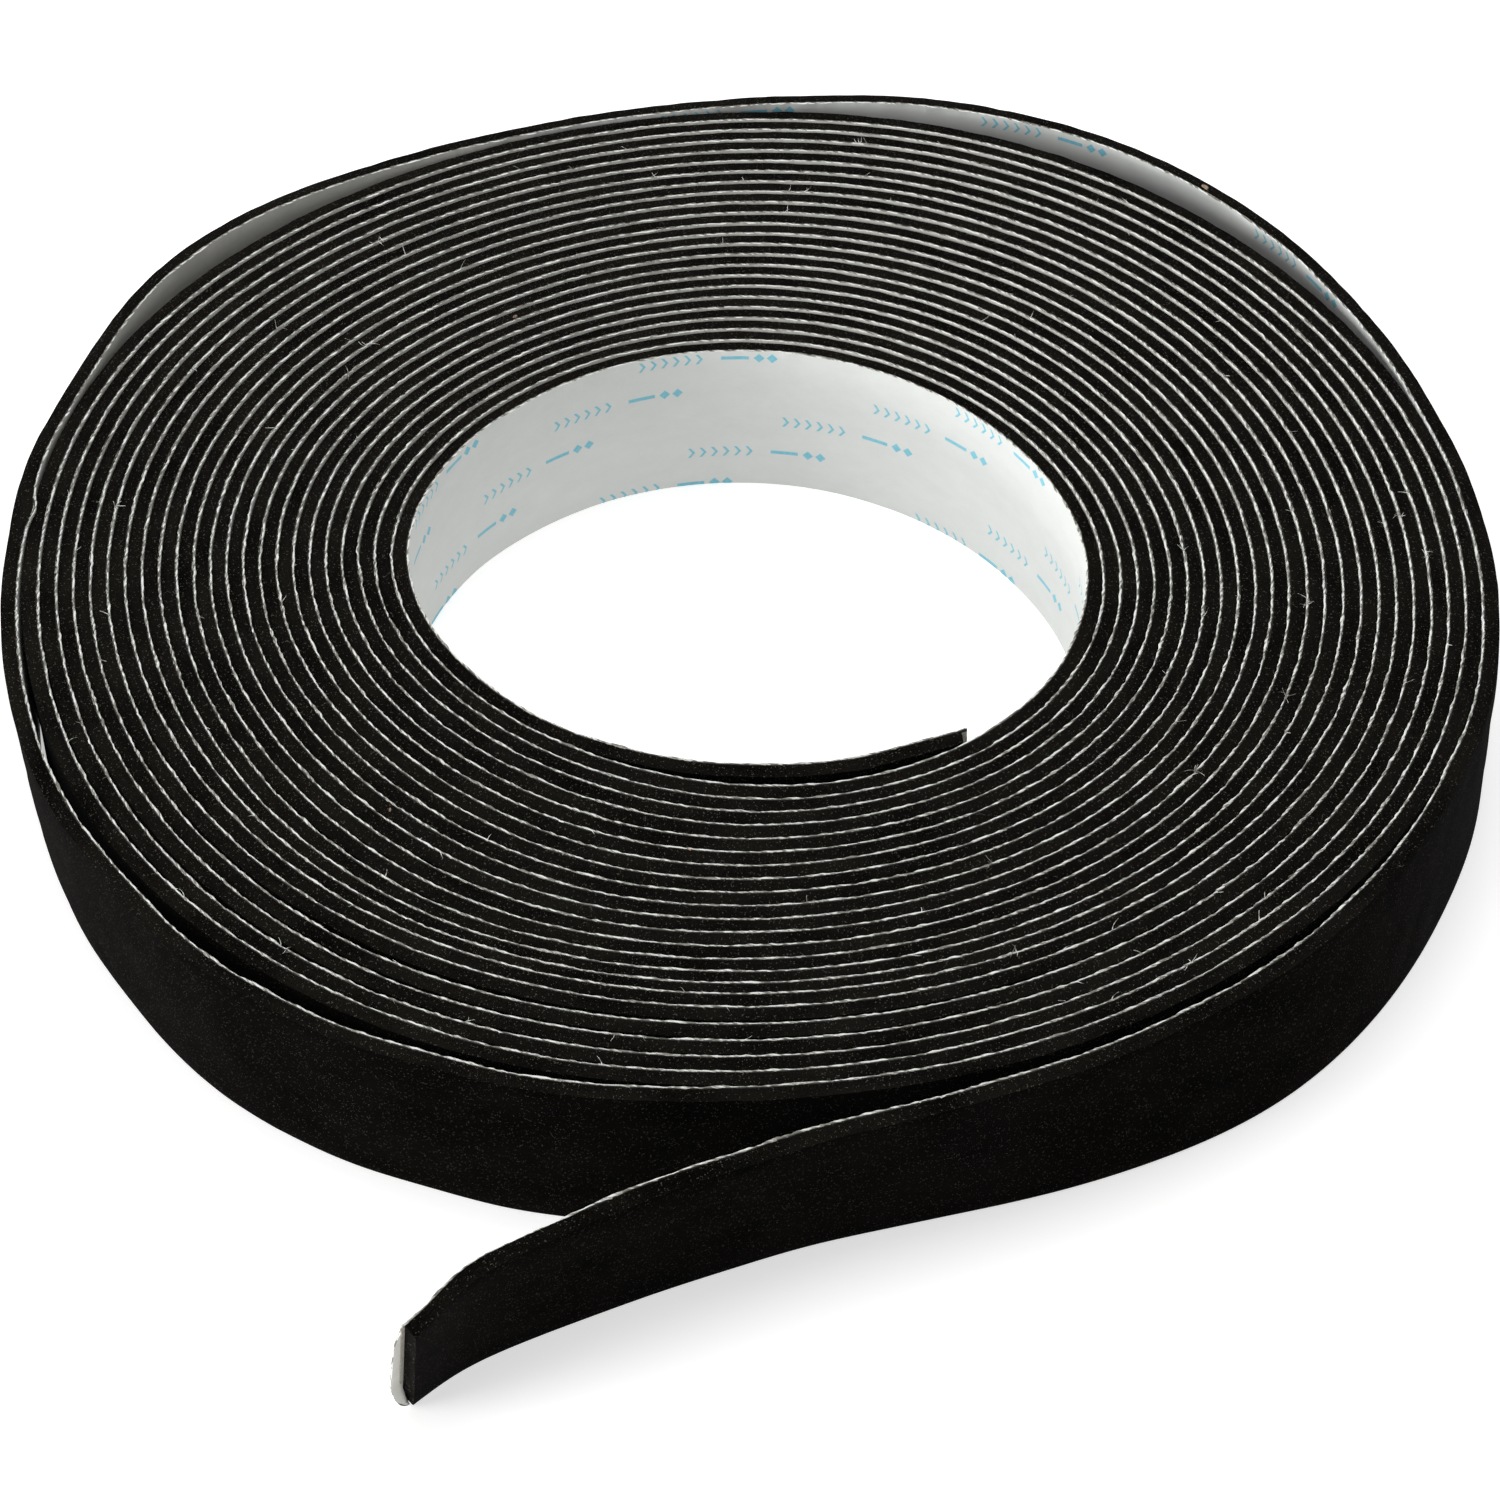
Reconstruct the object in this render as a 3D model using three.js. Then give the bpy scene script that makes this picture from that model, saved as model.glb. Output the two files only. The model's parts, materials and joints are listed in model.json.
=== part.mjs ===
// Coreless roll of self-adhesive foam sealing tape. One strip, wound flat on its edge:
// foam outside, double-coated adhesive in the middle, paper release liner inside (towards the centre).
// The outer part of the last turn is loose. It and the two free ends are split into hinged stretches.
// Millimetres, +Z up, the roll stands on the strip's lower edges at z = 0.
import * as THREE from "three";

// ---- driving dimensions -------------------------------------------------------------------
const PITCH = 2.3; // radial step of one turn
const WIDTH = 23.5; // strip width = roll height
const LINER_PROUD = 0.25; // the liner's upper edge stands above the foam
const FOAM_T = 1.9; // foam, not squeezed
const FOAM_MIN = 1.2; // foam where the winding squeezes it hardest
const ADHESIVE_T = 0.15;
const LINER_T = 0.2;
const GAP = 0.05; // between neighbouring layers
const LAYERS_T = ADHESIVE_T + LINER_T + 3 * GAP; // liner side of the strip, with its gaps
const END_GAP = 0.15; // each stretch ends this far from its hinge plane
const STEPS = 20; // facets in one turn
const START_DEG = -50; // direction of the strip's inner end
const R_START = 18.09 * PITCH; // foam's inner radius at the inner end
const S_FLAP = 0.1; // turns: the inner end flap
const S_LOOSE = 23.6; // turns: where the loose outer stretch begins
const LINER_OVERHANG = 1.5; // liner past the foam at both ends
const HOLE_HALF = 28; // half side of the clear square in the central hole
const HOLE_Y = 0; // its offset from the roll's axis

// Departure from an even spiral, in pitches: one row per turn number, one value each 22.5 degrees.
const ROW_TURN = [0, 1, 3, 8, 14, 20, 23];
const ROW = [
  [0.21, 0.03, -0.13, -0.14, -0.02, 0.16, 0.4, 0.62, 0.55, 0.12, -0.48, -0.89, -0.87, -0.49, -0.02, 0.23],
  [0.35, -0.06, -0.33, -0.27, -0.1, 0.04, 0.27, 0.6, 0.64, 0.15, -0.48, -0.73, -0.45, 0.04, 0.46, 0.56],
  [0.26, -0.14, -0.34, -0.19, -0.03, -0.06, 0.08, 0.5, 0.61, 0.07, -0.55, -0.69, -0.39, -0.03, 0.34, 0.48],
  [-0.03, -0.31, -0.3, -0.05, 0.04, -0.26, -0.2, 0.24, 0.27, -0.11, -0.37, -0.18, -0.14, -0.08, 0.16, 0.22],
  [-0.21, -0.32, -0.14, 0.21, 0.1, -0.35, -0.38, -0.05, -0.11, -0.31, -0.07, 0.17, -0.09, -0.24, -0.14, -0.07],
  [-0.2, -0.24, 0.11, 0.51, 0.25, -0.29, -0.27, -0.09, -0.3, -0.26, 0.09, 0.21, -0.01, -0.23, -0.25, -0.08],
  [-0.26, -0.24, 0.14, 0.41, 0.22, -0.19, -0.28, -0.25, -0.28, -0.05, 0.24, 0.28, 0.06, -0.21, -0.22, -0.13],
];
// Last coiled turn, which lies more loosely: [turns, radius in pitches]
const OUTER = [
  [22.833, 40.57], [22.875, 40.75], [22.917, 40.9], [22.958, 40.93], [23.0, 40.82], [23.042, 40.88],
  [23.083, 41.15], [23.125, 41.67], [23.167, 42.39], [23.208, 42.9], [23.25, 42.55], [23.292, 42.0],
  [23.333, 41.47], [23.375, 41.27], [23.417, 41.65], [23.458, 42.72], [23.5, 42.68], [23.542, 41.98],
  [23.583, 42.0], [23.6, 42.27],
];
// Loose stretch, lower outer edge of the foam: [x, y in pitches, outward lean in degrees, mm the upper edge runs ahead]
const polar = (deg, r, lean) => [r * Math.cos((deg * Math.PI) / 180), r * Math.sin((deg * Math.PI) / 180), lean, 0];
const LOOSE = [
  polar(94, 43.1, 0), polar(76, 44.81, 0), polar(58, 45.29, 0), polar(40, 44.1, 0), polar(22, 42.64, 0),
  polar(4, 42.38, 0), polar(-14, 42.75, 0), polar(-32, 43.0, 0), polar(-50, 43.28, 0.5), polar(-61, 43.1, 2.7),
  polar(-72, 43.0, 4.7), polar(-79.4, 43.05, 7.5), [3.82, -43.2, 10, 0], [-0.1, -44.69, 11, 0], [-3.95, -46.43, 11.4, 0],
  [-7.72, -48.32, 12.6, 0], [-11.43, -50.35, 13.7, 0.3], [-14.0, -52.1, 15.5, 2.6], [-16.33, -54.38, 19, 5.6],
];
const TAB_STATION = 17; // where the liner's pull tab is hinged
const JOINT_STATION = [0, 2, 4, 6, 8, 10, 12, 14, 16]; // hinges of the loose stretch

// ---- shape functions ----------------------------------------------------------------------
const rad = (d) => (d * Math.PI) / 180;
const angleOf = (s) => rad(START_DEG) - 2 * Math.PI * s; // the spiral runs clockwise going outwards

function rowValue(row, th) {
  const n = row.length,
    u = ((((th / (2 * Math.PI)) * n) % n) + n) % n,
    i = Math.floor(u),
    t = u - i,
    p = [row[(i + n - 1) % n], row[i % n], row[(i + 1) % n], row[(i + 2) % n]];
  return (
    p[0] * (-0.5 * t + t * t - 0.5 * t ** 3) +
    p[1] * (1 - 2.5 * t * t + 1.5 * t ** 3) +
    p[2] * (0.5 * t + 2 * t * t - 1.5 * t ** 3) +
    p[3] * (-0.5 * t * t + 0.5 * t ** 3)
  );
}

function looseRadius(th) {
  // the loose stretch's foam inner radius over its evenly spaced stations, in mm
  for (let k = 0; k < 8; k++) {
    const a = rad(94 - 18 * k),
      b = a - rad(18);
    const d = Math.atan2(Math.sin(a - th), Math.cos(a - th));
    if (d >= -1e-6 && d <= a - b + 1e-6) {
      const f = d / (a - b);
      const ra = Math.hypot(LOOSE[k][0], LOOSE[k][1]),
        rb = Math.hypot(LOOSE[k + 1][0], LOOSE[k + 1][1]);
      return (ra + (rb - ra) * f) * PITCH - FOAM_T;
    }
  }
  return null;
}

// inner radius of the foam at s turns, mm
function foamInner(s) {
  const th = angleOf(s);
  if (s >= OUTER[0][0]) {
    let k = 0;
    while (k < OUTER.length - 2 && s > OUTER[k + 1][0]) k++;
    const f = Math.min(1, (s - OUTER[k][0]) / (OUTER[k + 1][0] - OUTER[k][0]));
    return (OUTER[k][1] + (OUTER[k + 1][1] - OUTER[k][1]) * f) * PITCH;
  }
  let k = 0;
  while (k < ROW.length - 2 && s > ROW_TURN[k + 1]) k++;
  const f = Math.max(0, (s - ROW_TURN[k]) / (ROW_TURN[k + 1] - ROW_TURN[k]));
  const d = rowValue(ROW[k], th) * (1 - f) + rowValue(ROW[k + 1], th) * f;
  return R_START + (s + d) * PITCH;
}

// foam thickness at s turns: whatever the next turn leaves, up to its free thickness
function foamThick(s) {
  let next = null;
  if (s + 1 <= S_LOOSE + 1e-9) next = foamInner(s + 1);
  else if (s <= 23.0 + 1e-9) next = looseRadius(angleOf(s));
  if (next === null) return FOAM_T;
  const room = next - LAYERS_T - foamInner(s);
  if (room < FOAM_MIN) throw new Error("no room for the foam at turn " + s.toFixed(2) + ": " + room.toFixed(2));
  return Math.min(FOAM_T, room);
}

// ---- mesh building ------------------------------------------------------------------------
// rings: [[innerLow, outerLow, outerHigh, innerHigh], ...], each a THREE.Vector3. Closed with flat ends.
function bandGeometry(rings) {
  const pos = [],
    idx = [];
  for (const r of rings) for (const v of r) pos.push(v.x, v.y, v.z);
  for (let i = 0; i + 1 < rings.length; i++)
    for (let j = 0; j < 4; j++) {
      const a = 4 * i + j,
        b = 4 * i + ((j + 1) % 4),
        c = b + 4,
        d = a + 4;
      // facing sides share one diagonal, so neighbouring layers stay parallel where the strip twists
      if (j === 3) idx.push(a, b, d, b, c, d);
      else idx.push(a, b, c, a, c, d);
    }
  const e = 4 * (rings.length - 1);
  idx.push(0, 2, 1, 0, 3, 2, e, e + 1, e + 2, e, e + 2, e + 3);
  // the winding is turned so that the faces point outwards
  let vol = 0;
  const v = (k) => new THREE.Vector3(pos[3 * k], pos[3 * k + 1], pos[3 * k + 2]);
  for (let i = 0; i < idx.length; i += 3) vol += v(idx[i]).dot(v(idx[i + 1]).cross(v(idx[i + 2])));
  if (vol < 0) for (let i = 0; i < idx.length; i += 3) [idx[i + 1], idx[i + 2]] = [idx[i + 2], idx[i + 1]];
  return new THREE.BufferGeometry()
    .setAttribute("position", new THREE.Float32BufferAttribute(pos, 3))
    .setIndex(idx);
}

const foamMat = new THREE.MeshStandardMaterial({ name: "foam", color: 0x1b1b1a, roughness: 0.95, metalness: 0 });
const adhesiveMat = new THREE.MeshStandardMaterial({ name: "adhesive", color: 0xd9d6c8, roughness: 0.4, metalness: 0 });
const linerMat = new THREE.MeshStandardMaterial({ name: "liner", color: 0xe4e4e2, roughness: 0.6, metalness: 0 });
const material = { foam: foamMat, adhesive: adhesiveMat, liner: linerMat };
const LOW = { foam: 0, adhesive: 0.15, liner: 0 };
const HIGH = { foam: WIDTH, adhesive: WIDTH - 0.15, liner: WIDTH + LINER_PROUD };

const group = new THREE.Group();
group.name = "foam_tape_roll";
function add(name, layer, rings) {
  const m = new THREE.Mesh(bandGeometry(rings), material[layer]);
  m.name = name;
  group.add(m);
}

// A stretch of the wound spiral from turn a to turn b, with each layer's radii at every facet corner.
function coilRings(layer, a, b, cutA, cutB) {
  const at = [a];
  for (let k = Math.floor(a * STEPS + 1e-6) + 1; k < b * STEPS - 1e-6; k++) at.push(k / STEPS);
  at.push(b);
  return at.map((s, i) => {
    const th = angleOf(s),
      r = foamInner(s);
    const inner = { foam: r, adhesive: r - GAP - ADHESIVE_T, liner: r - 2 * GAP - ADHESIVE_T - LINER_T }[layer];
    const outer = { foam: r + foamThick(s), adhesive: r - GAP, liner: r - 2 * GAP - ADHESIVE_T }[layer];
    // shift along the strip at the two cut ends; positive is towards the outer end
    const along = i === 0 ? cutA : i === at.length - 1 ? -cutB : 0;
    const tx = Math.sin(th) * along,
      ty = -Math.cos(th) * along;
    const p = (rr, z) => new THREE.Vector3(rr * Math.cos(th) + tx, rr * Math.sin(th) + ty, z);
    return [p(inner, LOW[layer]), p(outer, LOW[layer]), p(outer, HIGH[layer]), p(inner, HIGH[layer])];
  });
}

// Frames of the loose stretch: lower outer corner, outward normal in plan, direction up the strip.
const frames = LOOSE.map(([x, y, lean, ahead], i) => {
  const here = new THREE.Vector2(x * PITCH, y * PITCH);
  const q = (k) => new THREE.Vector2(LOOSE[k][0] * PITCH, LOOSE[k][1] * PITCH);
  const dirs = [];
  if (i > 0) dirs.push(here.clone().sub(q(i - 1)).normalize());
  if (i < LOOSE.length - 1) dirs.push(q(i + 1).sub(here).normalize());
  const t = dirs.reduce((s, d) => s.add(d), new THREE.Vector2()).normalize();
  const out = new THREE.Vector2(-t.y, t.x); // left of a clockwise run is outwards
  let miter = dirs.length === 2 ? 1 / Math.cos(dirs[0].angleTo(dirs[1]) / 2) : 1;
  if (i === 0) {
    out.set(Math.cos(rad(94)), Math.sin(rad(94)));
    miter = 1;
  }
  const a = rad(lean);
  const n = new THREE.Vector3(out.x, out.y, 0);
  return {
    p: new THREE.Vector3(here.x, here.y, 0),
    up: new THREE.Vector3(0, 0, Math.cos(a)).addScaledVector(n, Math.sin(a)),
    nn: n.clone().multiplyScalar(Math.cos(a)).add(new THREE.Vector3(0, 0, -Math.sin(a))).multiplyScalar(miter),
    t: i === 0 ? new THREE.Vector3(out.y, -out.x, 0) : new THREE.Vector3(t.x, t.y, 0),
    ahead,
  };
});

function looseRings(layer, i0, i1, cutA, cutB) {
  const near = { foam: 0, adhesive: FOAM_T + GAP, liner: FOAM_T + 2 * GAP + ADHESIVE_T }[layer];
  const far = { foam: FOAM_T, adhesive: FOAM_T + GAP + ADHESIVE_T, liner: FOAM_T + 2 * GAP + ADHESIVE_T + LINER_T }[layer];
  const rings = [];
  for (let i = i0; i <= i1; i++) {
    const f = frames[i];
    const along = i === i0 ? cutA : i === i1 ? -cutB : 0;
    const p = (d, h) =>
      f.p.clone().addScaledVector(f.up, h).addScaledVector(f.nn, -d).addScaledVector(f.t, along + (f.ahead * h) / WIDTH);
    rings.push([p(far, LOW[layer]), p(near, LOW[layer]), p(near, HIGH[layer]), p(far, HIGH[layer])]);
  }
  return rings;
}

// ---- the pieces ---------------------------------------------------------------------------
const LAYERS = ["foam", "adhesive", "liner"];
for (const l of LAYERS) add(l + "_coil", l, coilRings(l, S_FLAP, S_LOOSE, END_GAP, END_GAP));
for (const l of LAYERS) add(l + "_inner_end", l, coilRings(l, 0, S_FLAP, l === "liner" ? -LINER_OVERHANG : 0, END_GAP));
const last = JOINT_STATION.length - 1;
JOINT_STATION.forEach((i0, k) => {
  const tip = LOOSE.length - 1;
  for (const l of LAYERS) {
    const name = l + "_run_" + (k + 1);
    if (k < last) add(name, l, looseRings(l, i0, JOINT_STATION[k + 1], END_GAP, END_GAP));
    else if (l !== "liner") add(name, l, looseRings(l, i0, tip, END_GAP, 0));
    else {
      add(name, l, looseRings(l, i0, TAB_STATION, END_GAP, END_GAP));
      add("liner_pull_tab", l, looseRings(l, TAB_STATION, tip, END_GAP, -LINER_OVERHANG));
    }
  }
});

// ---- put the origin at the centre of the footprint ----------------------------------------
const box = new THREE.Box3().setFromObject(group);
const shift = new THREE.Vector3(-(box.min.x + box.max.x) / 2, -(box.min.y + box.max.y) / 2, -box.min.z);
for (const m of group.children) m.geometry.translate(shift.x, shift.y, shift.z);

// hinge lines, for whoever reads the group: point and direction in the part's frame
const hinge = (f, d) => {
  const axis = f.up.clone().addScaledVector(f.t, f.ahead / WIDTH);
  const pos = f.p.clone().addScaledVector(axis, WIDTH / 2).addScaledVector(f.nn, -d).add(shift);
  return { pos: pos.toArray(), axis: axis.normalize().toArray() };
};
const facePoint = (s, z) => {
  const r = foamInner(s) + foamThick(s) / 2,
    th = angleOf(s);
  return [r * Math.cos(th) + shift.x, r * Math.sin(th) + shift.y, z];
};
const thFlap = angleOf(S_FLAP),
  rFlap = foamInner(S_FLAP) - 2 * GAP - ADHESIVE_T - LINER_T;
group.userData = {
  shift: shift.toArray(),
  runs: JOINT_STATION.map((i) => hinge(frames[i], 0)),
  tab: hinge(frames[TAB_STATION], FOAM_T + 2 * GAP + ADHESIVE_T + LINER_T),
  flap: {
    pos: [rFlap * Math.cos(thFlap) + shift.x, rFlap * Math.sin(thFlap) + shift.y, WIDTH / 2 + shift.z],
    axis: [0, 0, 1],
  },
  base: facePoint(12.35, 0),
  topp: facePoint(12.35, WIDTH),
  hole: [
    [-HOLE_HALF + shift.x, -HOLE_HALF + HOLE_Y + shift.y, -5],
    [HOLE_HALF + shift.x, HOLE_HALF + HOLE_Y + shift.y, WIDTH + 6],
  ],
};

export default group;
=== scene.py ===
import json
import math

import bpy
import numpy as np
from mathutils import Matrix, Vector

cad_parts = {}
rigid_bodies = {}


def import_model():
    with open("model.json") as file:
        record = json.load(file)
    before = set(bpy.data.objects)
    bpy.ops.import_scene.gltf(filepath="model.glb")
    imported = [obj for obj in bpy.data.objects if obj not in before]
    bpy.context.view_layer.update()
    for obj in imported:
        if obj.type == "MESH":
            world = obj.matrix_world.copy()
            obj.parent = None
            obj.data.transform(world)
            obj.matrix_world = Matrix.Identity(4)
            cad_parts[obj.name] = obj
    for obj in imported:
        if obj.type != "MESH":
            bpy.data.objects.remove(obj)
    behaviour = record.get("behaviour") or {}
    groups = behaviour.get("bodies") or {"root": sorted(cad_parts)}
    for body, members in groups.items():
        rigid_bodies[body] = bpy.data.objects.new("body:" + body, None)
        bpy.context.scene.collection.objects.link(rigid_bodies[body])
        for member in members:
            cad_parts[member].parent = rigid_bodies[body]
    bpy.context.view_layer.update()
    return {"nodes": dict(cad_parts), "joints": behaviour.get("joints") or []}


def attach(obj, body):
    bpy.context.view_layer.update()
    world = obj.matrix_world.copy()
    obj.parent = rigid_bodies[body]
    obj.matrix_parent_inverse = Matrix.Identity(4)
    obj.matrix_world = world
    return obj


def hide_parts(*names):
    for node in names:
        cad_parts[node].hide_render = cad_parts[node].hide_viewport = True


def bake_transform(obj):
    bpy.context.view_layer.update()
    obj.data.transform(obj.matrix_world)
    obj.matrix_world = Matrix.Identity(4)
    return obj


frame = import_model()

scene = bpy.context.scene
MM = 0.001

# ---------------------------------------------------------------------------------------------
# Shape of the winding, the same numbers as the CAD source. Millimetres, about the coil's axis.
# ---------------------------------------------------------------------------------------------
PITCH = 2.3
WIDTH = 23.5
FOAM_T = 1.9
START_DEG = -50.0
R_START = 18.09 * PITCH
S_FLAP = 0.1
S_LOOSE = 23.6
SHIFT = np.array([-0.1891326904296875, 17.228675842285156, 0.0])

ROW_TURN = np.array([0, 1, 2, 3.5, 5, 8, 11, 13, 14, 15, 16, 17, 18, 19, 20, 21, 22, 23], float)
ROW = np.array([
    [0.201, 0.084, -0.042, -0.138, -0.174, -0.145, -0.06, 0.066, 0.221, 0.387, 0.528, 0.585, 0.505, 0.274, -0.063, -0.408, -0.653, -0.72, -0.6, -0.356, -0.084, 0.131, 0.25, 0.266],
    [0.305, 0.071, -0.161, -0.313, -0.316, -0.212, -0.115, -0.023, 0.051, 0.193, 0.433, 0.674, 0.725, 0.427, -0.067, -0.5, -0.751, -0.706, -0.394, -0.019, 0.304, 0.474, 0.508, 0.456],
    [0.382, 0.07, -0.218, -0.391, -0.373, -0.223, -0.139, -0.073, -0.02, 0.104, 0.35, 0.666, 0.739, 0.396, -0.128, -0.539, -0.717, -0.613, -0.316, -0.021, 0.279, 0.516, 0.601, 0.576],
    [0.298, 0.004, -0.243, -0.355, -0.283, -0.106, -0.047, -0.098, -0.128, -0.013, 0.263, 0.583, 0.615, 0.285, -0.171, -0.555, -0.708, -0.557, -0.309, -0.103, 0.129, 0.393, 0.564, 0.519],
    [0.199, -0.074, -0.283, -0.345, -0.244, -0.096, -0.033, -0.156, -0.22, -0.097, 0.202, 0.48, 0.49, 0.214, -0.152, -0.441, -0.512, -0.358, -0.197, -0.075, 0.143, 0.347, 0.446, 0.384],
    [0.031, -0.197, -0.344, -0.321, -0.191, -0.064, -0.004, -0.23, -0.384, -0.245, 0.064, 0.313, 0.259, 0.031, -0.238, -0.391, -0.253, -0.031, -0.079, -0.094, 0.067, 0.229, 0.33, 0.244],
    [-0.071, -0.237, -0.349, -0.247, -0.079, 0.06, 0.03, -0.28, -0.471, -0.39, -0.087, 0.142, 0.091, -0.107, -0.296, -0.268, 0.005, 0.12, -0.04, -0.089, -0.01, 0.11, 0.184, 0.104],
    [-0.178, -0.318, -0.344, -0.209, -0.029, 0.141, -0.004, -0.332, -0.521, -0.468, -0.192, -0.006, -0.072, -0.236, -0.294, -0.081, 0.221, 0.202, -0.041, -0.125, -0.077, 0.019, 0.071, -0.017],
    [-0.128, -0.253, -0.263, -0.125, 0.1, 0.268, 0.063, -0.251, -0.453, -0.427, -0.177, -0.018, -0.103, -0.267, -0.258, 0.076, 0.369, 0.213, -0.052, -0.145, -0.134, -0.043, 0.026, -0.013],
    [-0.143, -0.264, -0.251, -0.091, 0.144, 0.302, 0.074, -0.259, -0.463, -0.435, -0.195, -0.068, -0.152, -0.296, -0.232, 0.115, 0.301, 0.115, -0.122, -0.202, -0.198, -0.1, -0.011, -0.034],
    [-0.118, -0.238, -0.218, -0.069, 0.197, 0.368, 0.11, -0.266, -0.472, -0.397, -0.142, -0.051, -0.168, -0.308, -0.279, -0.007, 0.132, -0.058, -0.266, -0.347, -0.328, -0.222, -0.056, -0.002],
    [-0.113, -0.242, -0.22, -0.03, 0.254, 0.386, 0.096, -0.285, -0.488, -0.398, -0.144, -0.07, -0.219, -0.375, -0.386, -0.155, -0.089, -0.283, -0.483, -0.551, -0.466, -0.307, -0.095, 0.003],
    [-0.109, -0.229, -0.193, -0.005, 0.267, 0.398, 0.112, -0.263, -0.452, -0.371, -0.122, -0.091, -0.243, -0.33, -0.261, -0.14, -0.173, -0.356, -0.536, -0.605, -0.533, -0.352, -0.092, 0.01],
    [-0.135, -0.238, -0.17, 0.045, 0.348, 0.488, 0.165, -0.239, -0.427, -0.345, -0.119, -0.132, -0.277, -0.299, -0.128, 0.128, 0.206, -0.043, -0.303, -0.391, -0.366, -0.247, -0.057, 0.001],
    [-0.169, -0.268, -0.177, 0.077, 0.412, 0.554, 0.214, -0.231, -0.435, -0.359, -0.155, -0.183, -0.334, -0.339, -0.145, 0.199, 0.402, 0.193, -0.092, -0.233, -0.24, -0.158, 0, 0.026],
    [-0.19, -0.289, -0.176, 0.119, 0.486, 0.614, 0.239, -0.251, -0.435, -0.338, -0.169, -0.221, -0.376, -0.364, -0.022, 0.448, 0.611, 0.372, 0.069, -0.122, -0.178, -0.149, 0.006, 0.006],
    [-0.223, -0.31, -0.175, 0.143, 0.538, 0.647, 0.252, -0.262, -0.453, -0.339, -0.133, -0.24, -0.444, -0.308, 0.217, 0.619, 0.723, 0.559, 0.148, -0.107, -0.201, -0.166, 0.022, -0.047],
    [-0.252, -0.317, -0.171, 0.162, 0.57, 0.638, 0.258, -0.206, -0.421, -0.37, -0.205, -0.243, -0.316, -0.132, 0.247, 0.51, 0.573, 0.455, 0.184, -0.07, -0.193, -0.178, -0.051, -0.091],
])
ROW_N = ROW.shape[1]
# first turn, foam's inner boundary: [turns, radius in mm]; the free end stands a little off the next turn
HOLE = np.array([
    (-0.0056, 43.05), (-0.0006, 42.64), (0.0028, 42.44), (0.0111, 41.82), (0.0194, 41.40), (0.0278, 41.04), (0.0361, 40.81),
    (0.0528, 40.56), (0.0694, 40.15), (0.0861, 39.81), (0.1028, 39.50), (0.1194, 39.40), (0.1361, 39.48), (0.1528, 39.50),
    (0.1694, 39.66), (0.1861, 39.93), (0.2028, 40.28), (0.2194, 40.66), (0.2361, 41.04), (0.2528, 41.37), (0.2694, 41.82),
    (0.2861, 42.34), (0.3028, 42.92), (0.3194, 43.41), (0.3361, 43.87), (0.3528, 44.24), (0.3694, 44.42), (0.3861, 44.41),
    (0.4028, 44.25), (0.4194, 44.07), (0.4361, 43.89), (0.4528, 43.72), (0.4694, 43.48), (0.4861, 43.24), (0.5028, 43.1),
    (0.5194, 43.01), (0.5361, 42.97), (0.5528, 42.91), (0.5694, 42.87), (0.5861, 42.82), (0.6028, 42.78), (0.6194, 42.75),
    (0.6361, 42.71), (0.6528, 42.64), (0.6694, 42.54), (0.6861, 42.47), (0.7028, 42.46), (0.7194, 42.46), (0.7361, 42.52),
    (0.7528, 42.63), (0.7694, 42.80), (0.7861, 43.07), (0.8028, 43.42), (0.8194, 43.80), (0.8361, 44.19), (0.8528, 44.49),
    (0.8694, 44.70), (0.8861, 44.83), (0.9028, 44.95), (0.9194, 45.12), (0.9361, 45.31), (0.9528, 45.40), (0.9694, 45.35),
    (0.9861, 45.22),
])
# last wound turn and the loose stretch, foam's inner boundary: [turns, radius in pitches]
LATE = [(23.083, 41.16), (23.125, 41.73)]
FINE = [
    (-107, 42.33), (-113, 42.48), (-119, 42.84), (-124, 42.91), (-130, 42.99), (-136, 42.69), (-142, 42.33),
    (-148, 42.22), (-154, 42.03), (-160, 41.74), (-166, 41.48), (-172, 41.29), (-178.5, 41.18), (-185, 41.13),
    (-191, 41.5), (-197, 41.54), (-203, 41.79), (-209, 42.33), (-215, 42.89), (-221.5, 43.06), (-228, 42.83),
    (-234, 42.39), (-240, 41.99), (-246, 41.79), (-252, 41.72), (-258, 41.87), (-264, 42.14), (-270, 42.53),
    (-276, 43.06), (-282, 43.83), (-288, 44.3), (-293.4, 44.54), (-299.3, 44.54), (-305.2, 44.34), (-311.2, 43.93),
    (-317, 43.48), (-323, 42.89), (-329, 42.33), (-335, 41.94), (-341, 41.59), (-347, 41.54), (-353, 41.5),
    (-359, 41.6), (-365, 41.68), (-371, 41.86), (-377, 41.96), (-383, 41.94), (-389, 42.07), (-395, 42.18),
    (-401.5, 42.29), (-407.5, 42.44), (-413.5, 42.46),
]
NUDGE = np.array([
    (-413.5, 0.05), (-400, 0.13), (-390, 0.14), (-380, 0.2), (-370, 0.1), (-360, 0.12), (-350, 0.06), (-340, 0.05), (-330, 0.0),
    (-322, -0.15), (-315, -0.17), (-309, -0.18), (-303, -0.3), (-297.5, -0.3), (-292, -0.42), (-287, -0.32), (-280, -0.2),
    (-275, -0.12), (-270, -0.22), (-265, -0.4), (-258, -0.4), (-252, -0.45), (-247, -0.5), (-236, -0.5), (-230, -0.55),
    (-216, -0.42), (-210, -0.3), (-200, -0.3), (-192, -0.35), (-186, -0.05), (-180, -0.1), (-170, -0.03), (-150, 0.03),
    (-140, 0.08), (-130, -0.08), (-120, 0.03), (-107, 0.12),
])
LATE += [(23.0 + (-50.0 - a) / 360.0, r + np.interp(a, NUDGE[:, 0], NUDGE[:, 1]) / PITCH) for a, r in FINE]
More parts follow.
